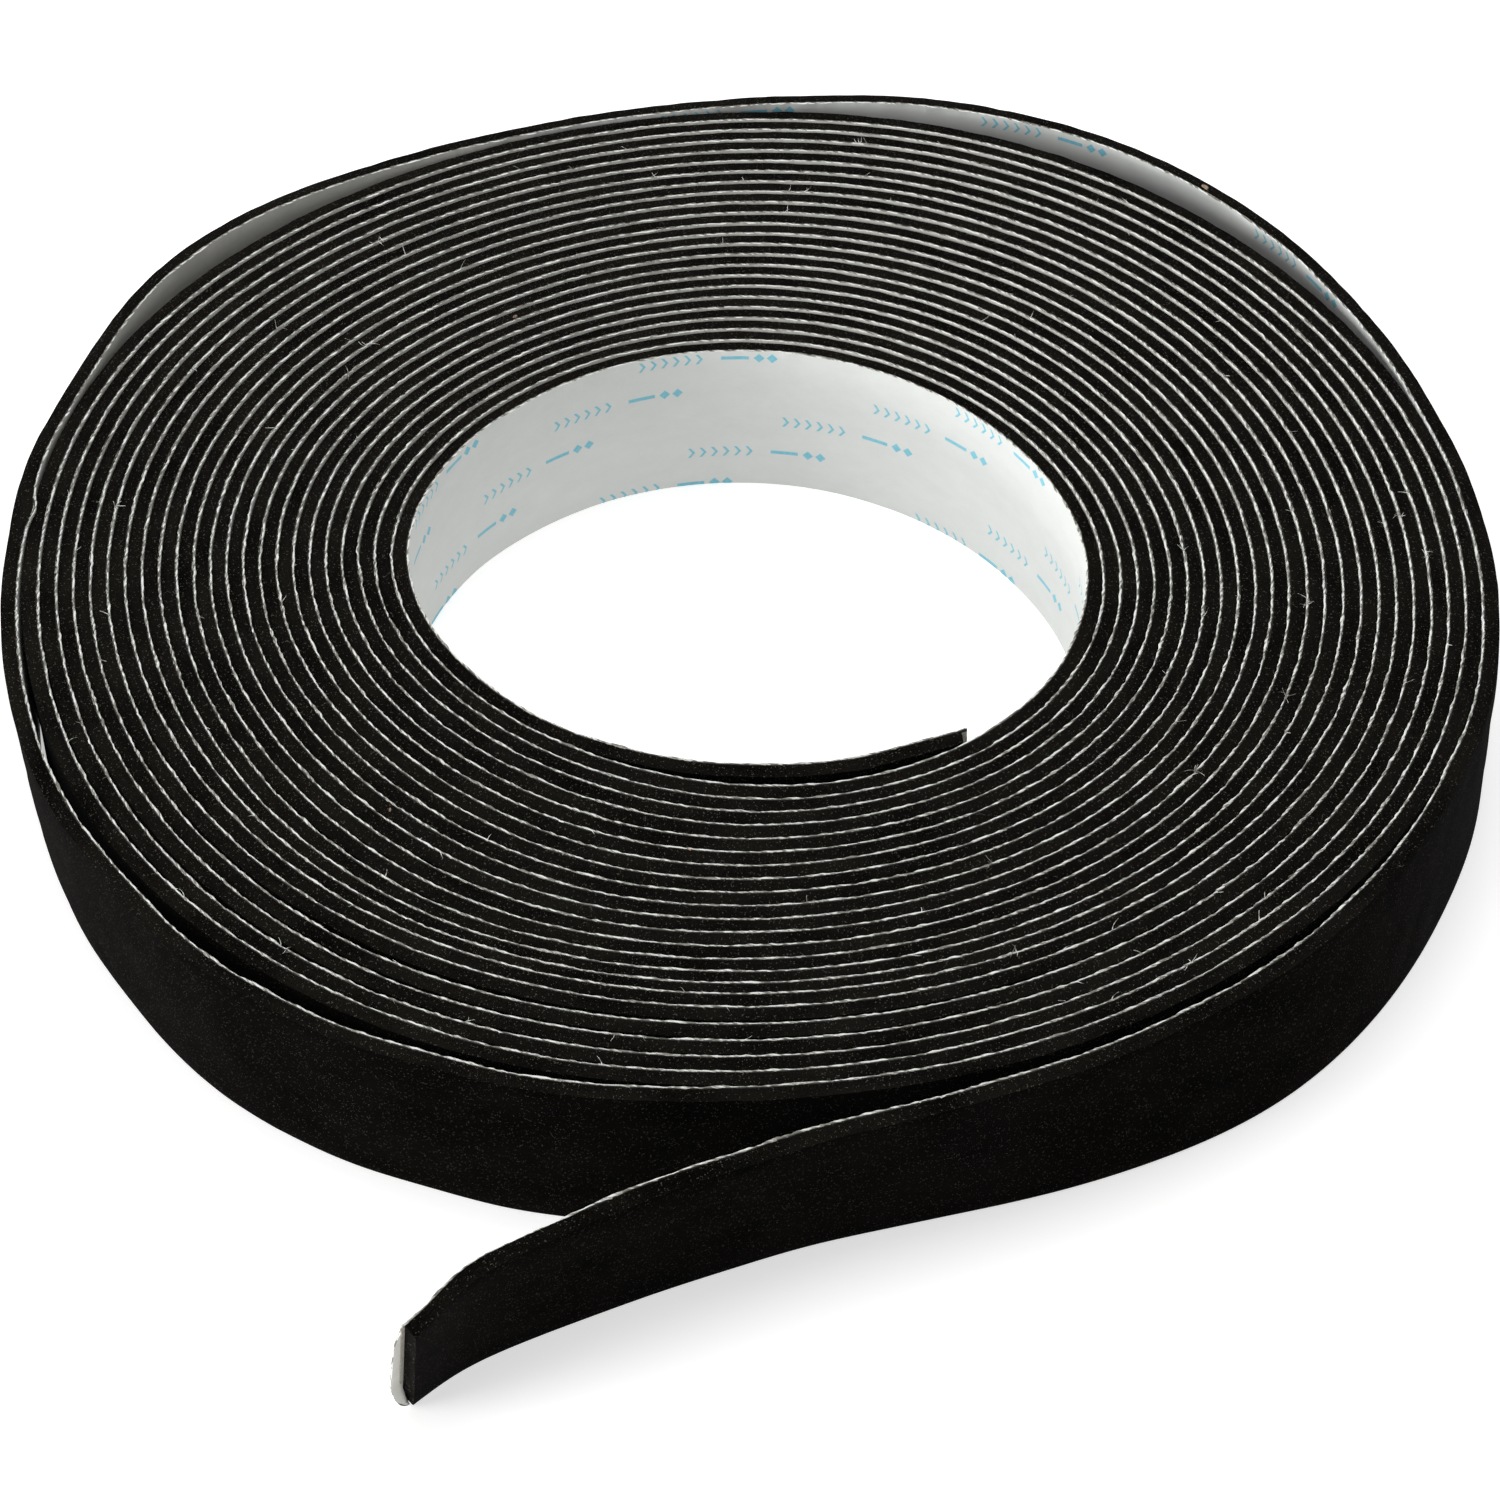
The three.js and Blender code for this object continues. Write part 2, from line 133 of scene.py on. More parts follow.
# how far the foot of the outermost wound turn stands off the vertical below its upper edge: [angle, mm]
FOOT = np.array([
    (-410, 0), (-205, 0), (-190, -0.3), (-180, -0.8), (-171.4, -1.45), (-162.5, -2.6), (-154, -2.95), (-146, -2.63),
    (-138.5, -2.2), (-131.6, -2.0), (-125.2, -1.65), (-119.3, -1.75), (-113.8, -1.65), (-107, -1.6), (-100, -1.7), (-90, -1.8),
    (-80, -1.8), (-74.5, -1.7), (-69.4, -1.4), (-64, -0.9), (-58, -0.4), (-50, 0),
])
# lean of the loose stretch before its tail: [angle, degrees]
LEAN = np.array([(-413.5, 0.2), (-412.6, 0.0), (-406, -1.3), (-399, -1.6), (-392, -0.4), (-384, 0.0), (-375, 0.6), (-366, 0), (-250, 0)])
# free tail, lower outer edge of the foam: [x, y in pitches, outward lean in degrees, mm the upper edge runs ahead]
pol = lambda deg, r, lean: (r * math.cos(math.radians(deg)), r * math.sin(math.radians(deg)), lean, 0.0)
TAIL = [
    pol(-58.5, 42.97, 2.5), pol(-64.1, 42.67, 5.0), pol(-69.4, 42.45, 6.9), pol(-74.5, 42.38, 8.9), pol(-79.5, 42.62, 10.0),
    (3.8, -43.18, 10.7, 0.0), (-0.1, -44.8, 11.6, 0.0), (-3.96, -46.55, 11.4, 0.0), (-7.74, -48.45, 12.6, 0.0),
    (-11.45, -50.45, 13.7, 0.3), (-14.02, -52.17, 14.5, 3.0), (-16.38, -54.48, 18.2, 5.9),
]


def spline(x, y, q):
    """Natural cubic spline through (x, y) at q; straight outside."""
    x, y, q = np.asarray(x, float), np.asarray(y, float), np.asarray(q, float)
    n, h = len(x), np.diff(x)
    A, b = np.eye(n), np.zeros(n)
    for i in range(1, n - 1):
        A[i, i - 1 : i + 2] = h[i - 1], 2 * (h[i - 1] + h[i]), h[i]
        b[i] = 6 * ((y[i + 1] - y[i]) / h[i] - (y[i] - y[i - 1]) / h[i - 1])
    m = np.linalg.solve(A, b)
    c = np.clip(q, x[0], x[-1])
    i = np.clip(np.searchsorted(x, c, side="right") - 1, 0, n - 2)
    a0, a1 = (x[i + 1] - c) / h[i], (c - x[i]) / h[i]
    v = a0 * y[i] + a1 * y[i + 1] + ((a0**3 - a0) * m[i] + (a1**3 - a1) * m[i + 1]) * h[i] ** 2 / 6
    end = (y[-1] - y[-2]) / h[-1] + h[-1] * (m[-2] + 2 * m[-1]) / 6
    start = (y[1] - y[0]) / h[0] - h[0] * (2 * m[0] + m[1]) / 6
    return v + np.where(q > x[-1], (q - x[-1]) * end, 0) + np.where(q < x[0], (q - x[0]) * start, 0)


def row_radius(s):
    th = np.radians(START_DEG) - 2 * np.pi * s
    u = (th / (2 * np.pi) * ROW_N) % ROW_N
    i = np.floor(u).astype(int)
    t = u - i

    def value(row):
        p = [row[(i + k) % ROW_N] for k in (-1, 0, 1, 2)]
        return (
            p[0] * (-0.5 * t + t * t - 0.5 * t**3)
            + p[1] * (1 - 2.5 * t * t + 1.5 * t**3)
            + p[2] * (0.5 * t + 2 * t * t - 1.5 * t**3)
            + p[3] * (-0.5 * t * t + 0.5 * t**3)
        )

    d = np.zeros_like(s)
    k = np.clip(np.searchsorted(ROW_TURN, s, side="right") - 1, 0, len(ROW) - 2)
    f = np.clip((s - ROW_TURN[k]) / (ROW_TURN[k + 1] - ROW_TURN[k]), 0, 1)
    vals = np.stack([value(r) for r in ROW])
    at = np.arange(len(s))
    d = vals[k, at] * (1 - f) + vals[k + 1, at] * f
    return R_START + (s + d) * PITCH


_knots = np.arange(22.5, 23.06, 0.05)
LATE_S = np.concatenate([_knots, [k[0] for k in LATE]])
LATE_R = np.concatenate([row_radius(_knots), [k[1] * PITCH for k in LATE]])


def foam_inner(s):
    """Inner radius of the foam at s turns, mm."""
    s = np.asarray(s, float)
    r = np.where(s < 22.8, row_radius(s), spline(LATE_S, LATE_R, s))
    f = np.clip((s - 0.93) / 0.12, 0, 1)
    return np.where(s < 1.05, spline(HOLE[:, 0], HOLE[:, 1], np.minimum(s, 1.05)) * (1 - f) + r * f, r)


def angle_of(s):
    return np.radians(START_DEG) - 2 * np.pi * np.asarray(s, float)


# ---- the strip's path: one table over the length of the strip, from the hole to the tail's end ------
PER_TURN = 2400
s_coil = np.arange(-40, int(S_LOOSE * PER_TURN) + 1) / PER_TURN
th = angle_of(s_coil)
# a small pinch in the paper of the last turn, towards the centre
pinched = lambda s: 0.5 * np.exp(-(((s - 23.3745) * 609.0 / 2.3) ** 2))
r_in = foam_inner(s_coil) - pinched(s_coil)
radial = np.stack([np.cos(th), np.sin(th)], 1)
base_c = radial * r_in[:, None]
# the strip's first end is cut askew
skew = np.clip(1 - (s_coil + 0.001) / 0.022, 0, 1)
turn = th - np.radians(33.0) * skew * skew * (3 - 2 * skew)
n_c = np.stack([np.cos(turn), np.sin(turn)], 1)
ang_c = np.degrees(th) % -360 - 0.0
ang_c = np.where(ang_c > -50, ang_c - 360, ang_c)
reach_in = lambda s: (lambda x: x * x * (3 - 2 * x))(np.clip((s - 9.0) / 14.0, 0, 1))
foot_c = np.interp(ang_c, FOOT[:, 0], FOOT[:, 1])
foot0_c, foot1_c = foot_c * reach_in(s_coil), foot_c * reach_in(s_coil + 1)
next_r = foam_inner(np.minimum(s_coil + 1, 24.02)) - pinched(s_coil + 1)
room = np.where(s_coil <= 23.02, next_r - 0.46 - r_in, FOAM_T)
fade = np.clip((s_coil - 22.95) / 0.07, 0, 1)
thick_c = np.minimum(FOAM_T, room * (1 - fade) + np.maximum(room, FOAM_T) * fade) + pinched(s_coil)
thick_c += 0.28 * np.exp(-(((s_coil - 23.376) * 609.0 / 5.5) ** 2))

loose_pts, loose_lean, loose_ahead = [], [], []
for s_k, r_k in LATE:
    if s_k >= 23.58:
        a_k = float(angle_of(s_k))
        deg = math.degrees(a_k) % 360
        lean = float(np.interp(math.degrees(a_k) + 23 * 360, LEAN[:, 0], LEAN[:, 1]))
        rr = r_k * PITCH + FOAM_T - WIDTH * math.sin(math.radians(lean))
        loose_pts.append((rr * math.cos(a_k), rr * math.sin(a_k)))
        loose_lean.append(lean)
        loose_ahead.append(0.0)
for x, y, lean, ahd in TAIL:
    loose_pts.append((x * PITCH, y * PITCH))
    loose_lean.append(lean)
    loose_ahead.append(ahd)
loose_pts = np.array(loose_pts)
start_pt = radial[-1] * (r_in[-1] + FOAM_T)
before = np.array([radial[-1 - k] * (r_in[-1 - k] + FOAM_T) for k in (80, 40)])
keep = np.hypot(*(loose_pts - start_pt).T) > 2.5
ahead = loose_pts[:, 0] > start_pt[0]
keep[: np.argmax(ahead & keep)] = False
loose_pts, loose_lean, loose_ahead = loose_pts[keep], np.array(loose_lean)[keep], np.array(loose_ahead)[keep]
way = np.concatenate([before, [start_pt], loose_pts])
lean_k = np.concatenate([[0, 0, 0], loose_lean])
ahead_k = np.concatenate([[0, 0, 0], loose_ahead])
chord = np.concatenate([[0], np.cumsum(np.hypot(*np.diff(way, axis=0).T))])
q = np.arange(chord[2], chord[-1] + 11.0, 0.2)
P = np.stack([spline(chord, way[:, 0], q), spline(chord, way[:, 1], q)], 1)
tl = np.gradient(P, axis=0)
tl /= np.hypot(*tl.T)[:, None]
lean_l = np.radians(np.interp(q, chord, lean_k))
lean_l = np.convolve(np.pad(lean_l, 20, mode="edge"), np.ones(41) / 41, mode="valid")
ahead_l = np.interp(q, chord, ahead_k)
ahead_l = np.convolve(np.pad(ahead_l, 12, mode="edge"), np.ones(25) / 25, mode="valid")
n_l = np.stack([-tl[:, 1], tl[:, 0]], 1)
w_l = np.clip((q - q[0]) / 60.0, 0, 1)[:, None]
rad_l = P / np.hypot(*P.T)[:, None]
n_l = n_l * w_l + rad_l * (1 - w_l)
n_l /= np.hypot(*n_l.T)[:, None]
base_l = P - n_l * (np.cos(lean_l) * FOAM_T)[:, None]

base = np.concatenate([base_c, base_l[1:]])
nrm = np.concatenate([n_c, n_l[1:]])
foot_fade = np.clip(1 - q[1:] / 40 + q[0] / 40, 0, 1)
foot0 = np.concatenate([foot0_c, foot0_c[-1] * foot_fade])
foot1 = np.concatenate([foot1_c, foot1_c[-1] * foot_fade])
lean_a = np.concatenate([np.zeros(len(base_c)), lean_l[1:]])
ahead_a = np.concatenate([np.zeros(len(base_c)), ahead_l[1:]])
thick = np.concatenate([thick_c, np.full(len(base_l) - 1, FOAM_T)])
base_z = np.sin(lean_a) * FOAM_T
lam = np.concatenate([[0], np.cumsum(np.hypot(*np.diff(base, axis=0).T))])
lam -= lam[40]
tan = np.gradient(base, lam, axis=0)
tan /= np.hypot(*tan.T)[:, None]
# the two ends of the foam, and where each turn is along the strip
LAM_OF_S = lambda s: np.interp(s, s_coil, lam[: len(s_coil)])
def lam_of_chord(c):
    return float(np.interp(np.interp(c, q, np.arange(len(q))), np.arange(len(q)), lam[len(base_c) - 1 :]))


LAM_0 = float(LAM_OF_S(-0.0006))  # where the foam begins
LAM_END = lam_of_chord(chord[-1])
LAM_15 = lam_of_chord(chord[-4])  # where the paper's upper edge starts to sink below the foam's


def col(a, at):
    return np.interp(at, lam, a)


def place(at, d, h):
    """Points at distances along the strip, d outwards from the foam's inner boundary, h up the strip. All mm."""
    rise = col(ahead_a, at) * h / WIDTH
    n = np.stack([col(nrm[:, 0], at), col(nrm[:, 1], at)], -1)
    n /= np.linalg.norm(n, axis=-1)[..., None]
    a = col(lean_a, at)
    ca, sa = np.cos(a), np.sin(a)
    foot = col(foot0, at) + (col(foot1, at) - col(foot0, at)) * np.clip(d / PITCH, -0.3, 1)
    out = d * ca + h * sa + foot * (1 - h / WIDTH)
    x = col(base[:, 0], at) + n[..., 0] * out + col(tan[:, 0], at) * rise
    y = col(base[:, 1], at) + n[..., 1] * out + col(tan[:, 1], at) * rise
    z = col(base_z, at) - d * sa + h * ca
    return np.stack([x, y, z], -1) + SHIFT


# ---- smooth random variation along the strip ----------------------------------------------------
GRID = 0.25
GRID_LAM = np.arange(lam[0], lam[-1] + 1, GRID)


def band_noise(seed, short, long):
    """Seeded noise along the strip with unit spread and wavelengths between short and long, mm."""
    n = 1 << int(math.ceil(math.log2(len(GRID_LAM))))
    spec = np.fft.rfft(np.random.default_rng(seed).standard_normal(n))
    f = np.fft.rfftfreq(n, GRID)
    keep_f = 1 / (1 + (f * short) ** 8) * ((f * long) ** 4 / (1 + (f * long) ** 4))
    v = np.fft.irfft(spec * keep_f, n)[: len(GRID_LAM)]
    return v / v.std()


def along(values, at):
    return np.interp(at, GRID_LAM, values)


slow = np.clip(1.0 + 0.25 * band_noise(3, 40, 160), 0.5, 1.35)
RIPPLE = np.tanh(0.8 * band_noise(11, 1.15, 2.4)) * slow  # the scalloped edge of the paper
RIPPLE_Z = np.tanh(0.7 * band_noise(12, 1.3, 4.0)) * 1.2
WANDER = band_noise(13, 9, 45)
EDGE_T = band_noise(14, 3.0, 18)
TOP_Z = band_noise(15, 5, 40)
CORNER = band_noise(16, 2.5, 12)
COCKLE = band_noise(17, 12, 60)
COCKLE_B = band_noise(18, 9, 50)
SKIN = [band_noise(20 + k, 7, 60) for k in range(6)]


def skin_wave(at, h):
    """Slow unevenness of the foam's outer face, mm, over the strip's length and height."""
    x = np.clip(h / WIDTH, 0, 1) * 5
    i = np.clip(np.floor(x).astype(int), 0, 4)
    t = x - i
    t = t * t * (3 - 2 * t)
    vals = np.stack([along(v, at) for v in SKIN])
    flat = np.arange(at.size)
    v = vals.reshape(6, -1)
    a, b = v[i.ravel(), flat], v[i.ravel() + 1, flat]
    return (a * (1 - t.ravel()) + b * t.ravel()).reshape(at.shape)


# ---------------------------------------------------------------------------------------------
# Mesh building
# ---------------------------------------------------------------------------------------------
def make_mesh(name, verts, quads, mats, mat_of, strip, smooth_deg=38, extra=()):
    """verts in mm. quads (n, 4). extra: faces with other corner counts, (corners, material)."""
    me = bpy.data.meshes.new(name)
    nv = len(verts)
    me.vertices.add(nv)
    me.vertices.foreach_set("co", (np.asarray(verts) * MM).astype(np.float32).ravel())
    corner = [np.asarray(quads, np.int32).reshape(-1)]
    total = [np.full(len(quads), 4, np.int32)]
    idx = [np.asarray(mat_of, np.int32)]
    for f, m in extra:
        corner.append(np.asarray(f, np.int32))
        total.append(np.array([len(f)], np.int32))
        idx.append(np.array([m], np.int32))
    corner, total, idx = np.concatenate(corner), np.concatenate(total), np.concatenate(idx)
    me.loops.add(len(corner))
    me.loops.foreach_set("vertex_index", corner)
    me.polygons.add(len(total))
    me.polygons.foreach_set("loop_start", np.concatenate([[0], np.cumsum(total)[:-1]]).astype(np.int32))
    me.polygons.foreach_set("loop_total", total)
    me.polygons.foreach_set("material_index", idx)
    me.polygons.foreach_set("use_smooth", np.ones(len(total), bool))
    me.update(calc_edges=True)
    me.validate()
    if strip is not None:
        a = me.attributes.new("strip", "FLOAT_VECTOR", "POINT")
        a.data.foreach_set("vector", np.asarray(strip, np.float32).ravel())
    me.set_sharp_from_angle(angle=math.radians(smooth_deg))
    for m in mats:
        me.materials.append(m)
    ob = bpy.data.objects.new(name, me)
    scene.collection.objects.link(ob)
    return ob


def band(name, at, d, h, mats, side_mat, cap_mat, smooth_deg=38, shift=None):
    """A closed band: at (n,), d and h (n, m) round the section, counter-clockwise seen along the strip."""
    n, m = d.shape
    A = np.repeat(at[:, None], m, 1)
    if shift is not None:
        A = A + shift
    pts = place(A, d, h).reshape(-1, 3)
    i = np.arange(n - 1)[:, None] * m
    j = np.arange(m)[None, :]
    j2 = (j + 1) % m
    quads = np.stack([i + j, i + j2, i + m + j2, i + m + j], -1).reshape(-1, 4)
    mat_of = np.tile(np.asarray(side_mat), n - 1)
    first = list(range(m))[::-1]
    last = [(n - 1) * m + k for k in range(m)]
    # outward faces: check one ring's quad against the section's centre
    c = pts[m * (n // 2) : m * (n // 2) + m].mean(0)
    qd = quads[(n // 2) * m]
    v = pts[qd]
    if np.dot(np.cross(v[1] - v[0], v[2] - v[0]), v.mean(0) - c) < 0:
        quads = quads[:, ::-1]
        first, last = first[::-1], last[::-1]
    strip = np.stack([A, h, d], -1).reshape(-1, 3)
    return make_mesh(name, pts, quads, mats, mat_of, strip, smooth_deg,
                     [(first, cap_mat), (last, cap_mat)])


# ---------------------------------------------------------------------------------------------
# Materials
# ---------------------------------------------------------------------------------------------
class Nodes:
    def __init__(self, name):
        self.mat = bpy.data.materials.new(name)
        self.mat.use_nodes = True
        self.nt = self.mat.node_tree
        self.bsdf = self.nt.nodes["Principled BSDF"]

    def new(self, kind, **inputs):
        n = self.nt.nodes.new(kind)
        for k, v in inputs.items():
            if k in n.inputs:
                self.put(n.inputs[k], v)
            else:
                setattr(n, k, v)
        return n

    def put(self, sock, v):
        if isinstance(v, bpy.types.NodeSocket):
            self.nt.links.new(v, sock)
        else:
            sock.default_value = v

    def math(self, op, a, b=None, c=None, clamp=False):
        n = self.nt.nodes.new("ShaderNodeMath")
        n.operation, n.use_clamp = op, clamp
        for k, v in enumerate((a, b, c)):
            if v is not None:
                self.put(n.inputs[k], v)
        return n.outputs[0]

    def strip(self):
        n = self.nt.nodes.new("ShaderNodeAttribute")
        n.attribute_name = "strip"
        n.attribute_type = "GEOMETRY"
        return n.outputs["Vector"]

    def scaled(self, vec, s):
        n = self.nt.nodes.new("ShaderNodeVectorMath")
        n.operation = "MULTIPLY"
        self.put(n.inputs[0], vec)
        n.inputs[1].default_value = s
        return n.outputs[0]

    def noise(self, vec, scale, detail=2.0, rough=0.5):
        n = self.nt.nodes.new("ShaderNodeTexNoise")
        n.noise_dimensions = "3D"
        self.put(n.inputs["Vector"], vec)
        n.inputs["Scale"].default_value = scale
        n.inputs["Detail"].default_value = detail
        n.inputs["Roughness"].default_value = rough
        return n.outputs["Fac"]

    def voronoi(self, vec, scale, feature="F1", out="Distance", rand=1.0):
        n = self.nt.nodes.new("ShaderNodeTexVoronoi")
        n.feature = feature
        self.put(n.inputs["Vector"], vec)
        n.inputs["Scale"].default_value = scale
        n.inputs["Randomness"].default_value = rand
        return n.outputs[out]

    def ramp(self, fac, stops, mode="LINEAR"):
        n = self.nt.nodes.new("ShaderNodeValToRGB")
        n.color_ramp.interpolation = mode
        el = n.color_ramp.elements
        while len(el) < len(stops):
            el.new(0.5)
        for e, (p, c) in zip(el, stops):
            e.position = p
            e.color = (*c, 1) if len(c) == 3 else c
        self.put(n.inputs["Fac"], fac)
        return n.outputs["Color"]

    def mix(self, fac, a, b, mode="MIX"):
        n = self.nt.nodes.new("ShaderNodeMix")
        n.data_type, n.blend_type = "RGBA", mode
        self.put(n.inputs[0], fac)
        self.put(n.inputs[6], a if not isinstance(a, tuple) else (*a, 1))
        self.put(n.inputs[7], b if not isinstance(b, tuple) else (*b, 1))
        return n.outputs[2]

    def bump(self, height, distance, strength=1.0):
        n = self.nt.nodes.new("ShaderNodeBump")
        n.inputs["Strength"].default_value = strength
        n.inputs["Distance"].default_value = distance
        self.put(n.inputs["Height"], height)
        return n.outputs["Normal"]

    def set(self, **kw):
        for k, v in kw.items():
            self.put(self.bsdf.inputs[k.replace("_", " ")], v)


def foam_material(name, dark, light, glint_colour, cell, bump_mm, spec, rough=0.86):
    """Fine closed-cell sponge: cells a fraction of a millimetre across, with painted glints: a few cells coloured
    bright where they would catch the light.
    """
    m = Nodes(name)
    v = m.strip()
    cells = m.voronoi(v, 1.0 / cell)
    fine = m.noise(v, 1.7 / cell, 3.0, 0.6)
    broad = m.noise(m.scaled(v, (0.09, 0.16, 0.2)), 1.0, 2.0)
    body = m.math("ADD", m.math("MULTIPLY", fine, 0.6), m.math("MULTIPLY", broad, 0.4))
    colour = m.ramp(body, [(0.38, dark), (0.64, light)])
    # sparse painted glints: a bright colour on a few cells, standing in for the light they catch
    glint_cells = m.voronoi(v, 1.3 / cell)
    pick = m.noise(v, 0.75 / cell, 1.0)
    dot = m.math("MULTIPLY", m.math("LESS_THAN", glint_cells, 0.34), m.math("GREATER_THAN", pick, 0.60))
    colour = m.mix(dot, colour, glint_colour)
    height = m.math("ADD", m.math("MULTIPLY", cells, 0.8), fine)
    m.set(Base_Color=colour, Normal=m.bump(height, bump_mm * MM, 0.7))
    m.set(Roughness=m.math("MULTIPLY_ADD", broad, 0.12, rough))
    m.bsdf.inputs["Specular IOR Level"].default_value = spec
    return m.mat


def print_mask(m, v):
    """Plain repeated marks in staggered rows on the paper: small chevrons, a dash and two diamonds."""
    sep = m.new("ShaderNodeSeparateXYZ", Vector=v)
    u, y0 = sep.outputs[0], sep.outputs[1]
    row_pitch, shift, period = 5.5, 13.0, 46.0
    vv = m.math("ADD", m.math("SUBTRACT", WIDTH, y0), 2.75 - 1.2)
    k = m.math("FLOOR", m.math("DIVIDE", vv, row_pitch))
    y = m.math("ABSOLUTE", m.math("SUBTRACT", m.math("SUBTRACT", vv, m.math("MULTIPLY", k, row_pitch)), 2.75))
    x = m.math("ADD", m.math("SUBTRACT", u, U0), m.math("MULTIPLY", k, shift))
    x = m.math("FLOORED_MODULO", x, period)
    xm = m.math("FLOORED_MODULO", x, 1.6)
    line = m.math("ABSOLUTE", m.math("SUBTRACT", xm, m.math("MULTIPLY_ADD", y, -0.75, 1.1)))
    inside = lambda val, edge: m.math("MULTIPLY_ADD", m.math("SUBTRACT", edge, val), 9.0, 0.5, clamp=True)
    chev = m.math("MULTIPLY", inside(line, 0.2), inside(y, 0.82))
    chev = m.math("MULTIPLY", chev, m.math("LESS_THAN", x, 9.6))
    dash_x = m.math("ABSOLUTE", m.math("SUBTRACT", x, 13.7))
    dash = m.math("MULTIPLY", inside(dash_x, 1.9), inside(y, 0.28))
    dia = 0
    for cx in (17.0, 18.8):
        dd = m.math("ADD", m.math("ABSOLUTE", m.math("SUBTRACT", x, cx)), y)
        one = inside(dd, 0.76)
        dia = one if dia == 0 else m.math("MAXIMUM", dia, one)
    mask = m.math("MAXIMUM", m.math("MAXIMUM", chev, dash), dia)
    worn = m.math("MULTIPLY_ADD", m.noise(v, 2.2, 2.0), 0.5, 0.62, clamp=True)
    return m.math("MULTIPLY", mask, worn)


def liner_material(name, light, shade, printed):
    """Coated paper: faint cloudy fibre, a trace of length-wise streaks, satin coating."""
    m = Nodes(name)
    v = m.strip()
    cloud = m.noise(m.scaled(v, (0.22, 0.45, 1.0)), 1.0, 4.0, 0.6)
    fibre = m.noise(m.scaled(v, (1.4, 5.0, 1.0)), 1.0, 3.0, 0.65)
    fac = m.math("ADD", m.math("MULTIPLY", cloud, 0.65), m.math("MULTIPLY", fibre, 0.35))
    colour = m.ramp(fac, [(0.3, shade), (0.7, light)])
    if printed:
        colour = m.mix(print_mask(m, v), colour, (0.115, 0.44, 0.56))
    m.set(Base_Color=colour, Normal=m.bump(fibre, 0.02 * MM, 0.5))
    m.set(Roughness=m.math("MULTIPLY_ADD", cloud, 0.15, 0.5))
    m.bsdf.inputs["Specular IOR Level"].default_value = 0.35
    return m.mat


def edge_material(name, light, shade):
    """Knife-cut paper edge: slanted torn notches about a millimetre apart, a little warmer than the face; the notches'
    dark colour is painted shade between the bright beads.
    """
    m = Nodes(name)
    v = m.strip()
    sep = m.new("ShaderNodeSeparateXYZ", Vector=v)
    u, z, d = sep.outputs
    slant = m.new("ShaderNodeCombineXYZ", X=m.math("MULTIPLY_ADD", d, 2.2, u), Y=m.math("MULTIPLY", z, 0.5), Z=m.math("MULTIPLY", d, 0.8)).outputs[0]
    notch = m.noise(slant, 1.5, 1.0, 0.5)
    fluff = m.noise(v, 3.4, 4.0, 0.7)
    fac = m.math("ADD", m.math("MULTIPLY", fluff, 0.25), m.math("MULTIPLY", notch, 0.75))
    # the shade colour is painted shade in the notches, the light colour is the paper edge itself
    colour = m.ramp(fac, [(0.42, shade), (0.56, light)])
    m.set(Base_Color=colour, Normal=m.bump(fac, 0.09 * MM, 0.8))
    m.set(Roughness=m.math("MULTIPLY_ADD", fluff, 0.2, 0.75))
    m.bsdf.inputs["Specular IOR Level"].default_value = 0.2
    return m.mat


def adhesive_material(name):
    """Pale film, near-black along its top towards the foam, the dark border notched like the paper's."""
    m = Nodes(name)
    v = m.strip()
    sep = m.new("ShaderNodeSeparateXYZ", Vector=v)
    u, z, d = sep.outputs
    a = m.noise(v, 1.6, 3.0)
    line = m.new("ShaderNodeCombineXYZ", X=m.math("MULTIPLY_ADD", d, 1.5, u), Y=m.math("MULTIPLY", z, 0.3)).outputs[0]
    notch = m.noise(line, 1.05, 2.0, 0.6)
    edge = m.math("MULTIPLY_ADD", notch, 0.62, -0.45)
    pale_mask = m.math("MULTIPLY", m.math("SUBTRACT", edge, d), 22.0, clamp=True)
    top = m.math("GREATER_THAN", z, WIDTH - 0.35)
    pale_mask = m.math("MAXIMUM", pale_mask, m.math("SUBTRACT", 1.0, top))
    colour = m.ramp(a, [(0.3, (0.28, 0.27, 0.235)), (0.7, (0.43, 0.42, 0.37))])
    # near-black over the top edge towards the foam, the pale film elsewhere
    colour = m.mix(pale_mask, (0.016, 0.015, 0.012), colour)
    m.set(Base_Color=colour, Normal=m.bump(a, 0.04 * MM, 0.5))
    m.set(Roughness=m.math("MULTIPLY_ADD", a, 0.3, 0.3))
    m.bsdf.inputs["Specular IOR Level"].default_value = 0.2
    return m.mat


U0 = float(LAM_OF_S(0.553))
# the third colour of each foam material is its painted glint colour
FOAM_CUT = foam_material("foam_cut_edge", (0.0010, 0.0009, 0.0007), (0.0100, 0.0092, 0.0074), (0.070, 0.065, 0.054), 0.27, 0.10, 0.02)
FOAM_SKIN = foam_material("foam_skin", (0.0012, 0.0010, 0.0009), (0.0040, 0.0034, 0.0031), (0.036, 0.033, 0.029), 0.25, 0.05, 0.0, 0.62)
FOAM_SKIN.node_tree.nodes["Principled BSDF"].inputs["Sheen Weight"].default_value = 0.022
FOAM_SKIN.node_tree.nodes["Principled BSDF"].inputs["Sheen Roughness"].default_value = 0.35
FOAM_END = foam_material("foam_cut_end", (0.0016, 0.0014, 0.0012), (0.0115, 0.0104, 0.0088), (0.085, 0.077, 0.066), 0.36, 0.14, 0.02)
LINER_FACE = liner_material("liner_face_printed", (0.615, 0.628, 0.610), (0.568, 0.580, 0.560), True)
LINER_BACK = liner_material("liner_back", (0.68, 0.675, 0.63), (0.58, 0.575, 0.53), False)
